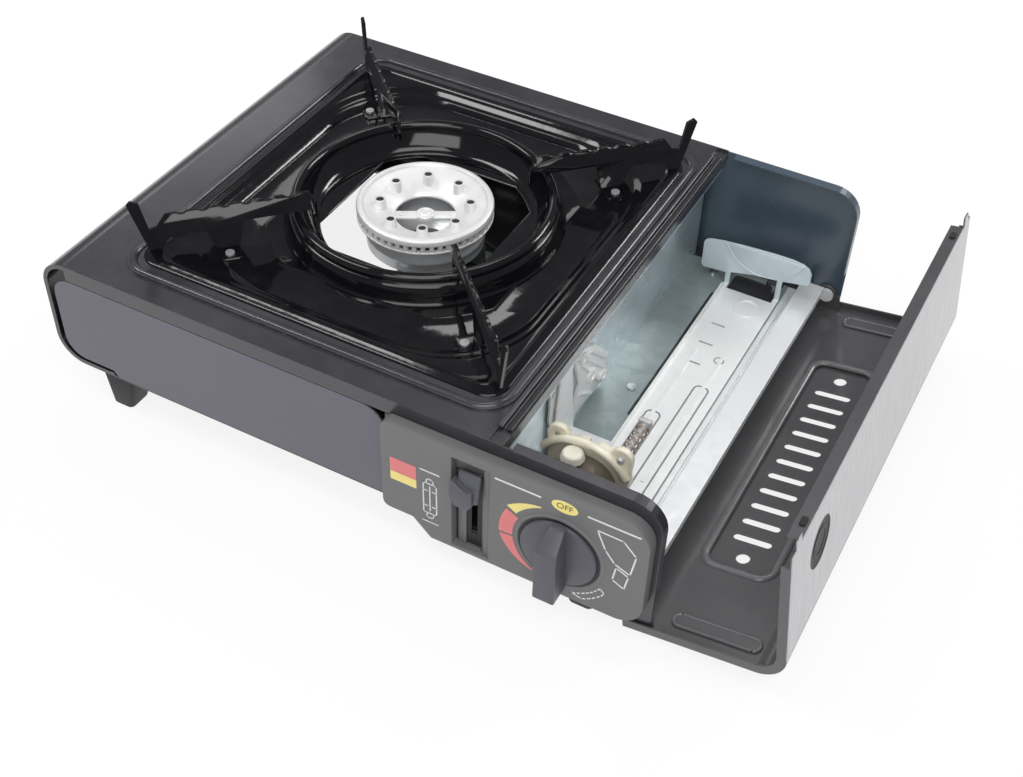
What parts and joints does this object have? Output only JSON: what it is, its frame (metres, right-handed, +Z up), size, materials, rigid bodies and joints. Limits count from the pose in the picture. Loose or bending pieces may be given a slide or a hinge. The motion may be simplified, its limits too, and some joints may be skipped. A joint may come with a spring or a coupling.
{
  "type": "portable cassette gas stove",
  "caption": "Portable cassette gas stove: sheet steel case, lift-off drip pan with pot supports over a burner, and an open-lidded cartridge bay.",
  "frame": {"origin": "on the table, under the middle of the stove with its lid open", "axes": "+X right as seen from the controls, +Y to the back, +Z up"},
  "size_m": [0.4164, 0.294, 0.1215],
  "materials": {
    "case_paint": "satin",
    "front_paint": "satin",
    "enamel": "gloss",
    "zinc_sheet": "satin",
    "die_cast": "matt",
    "steel": "bright",
    "burner_alloy": "satin",
    "brass": "satin",
    "rubber": "matt",
    "foot_plastic": "matt",
    "panel_plastic": "matt",
    "knob_plastic": "satin",
    "igniter_plastic": "satin",
    "ceramic": "gloss"
  },
  "bodies": {
    "case": {"outer_case": "case_paint", "front_panel": "front_paint", "front_bulkhead": "case_paint", "rear_panel": "case_paint", "partition": "zinc_sheet", "cartridge_tray": "zinc_sheet", "regulator_body": "die_cast", "regulator_cover": "die_cast", "cartridge_guide": "die_cast", "inlet_nozzle": "die_cast", "socket_seal": "rubber", "regulator_screws": "steel", "push_spring": "steel", "piezo_igniter": "igniter_plastic", "igniter_lead": "rubber", "electrode_ceramic": "ceramic", "electrode_wire": "steel", "electrode_clip": "zinc_sheet", "gas_pipe": "brass", "gas_jet": "brass", "mixing_tube": "burner_alloy", "burner_bracket": "zinc_sheet", "burner_bowl": "burner_alloy", "burner_cap": "burner_alloy", "burner_screws": "steel", "foot_1": "foot_plastic", "foot_2": "foot_plastic", "foot_3": "foot_plastic", "foot_4": "foot_plastic", "foot_screws": "steel", "control_panel": "panel_plastic", "panel_screws": "steel", "hinge_pins": "steel", "case_rivets": "steel"},
    "lid": {"lid": "case_paint", "lid_buffers": "rubber"},
    "knob": {"control_knob": "knob_plastic", "valve_spindle": "brass"},
    "lever": {"lock_lever": "knob_plastic", "lever_arm": "zinc_sheet", "lever_shaft": "steel", "lever_crank": "zinc_sheet"},
    "slider": {"slider_rail": "zinc_sheet", "cartridge_stop": "zinc_sheet"},
    "ejector": {"push_rod": "steel"},
    "pan": {"drip_pan": "enamel", "wind_ring": "enamel", "pan_support_1": "enamel", "pan_support_2": "enamel", "pan_support_3": "enamel", "pan_support_4": "enamel", "pan_rivets": "enamel"}
  },
  "joints": [
    {"name": "lid_hinge", "type": "hinge", "parent": "case", "child": "lid", "pos_m": [0.13476, 0.0105, 0.0155], "axis": [0, -1, 0], "range_deg": [0, 82.7]},
    {"name": "knob_turn", "type": "hinge", "parent": "case", "child": "knob", "pos_m": [0.09676, -0.1295, 0.0438], "axis": [0, -1, 0], "range_deg": [0, 135]},
    {"name": "lever_turn", "type": "hinge", "parent": "case", "child": "lever", "pos_m": [0.04976, -0.05148, 0.046], "axis": [1, 0, 0], "range_deg": [0, 23]},
    {"name": "slider_slide", "type": "slide", "parent": "case", "child": "slider", "axis": [0, -1, 0], "range_m": [0, 0.0105]},
    {"name": "ejector_slide", "type": "slide", "parent": "case", "child": "ejector", "axis": [0, -1, 0], "range_m": [0, 0.009], "stiffness_N_per_m": 400, "deforming": ["push_spring"]},
    {"name": "pan_lift", "type": "slide", "parent": "case", "child": "pan", "axis": [0, 0, 1], "range_m": [0, 0.06]}
  ],
  "couplings": [
    {"joint": "slider_slide", "follows": "lever_turn", "m_per_rad": 0.025826}
  ]
}
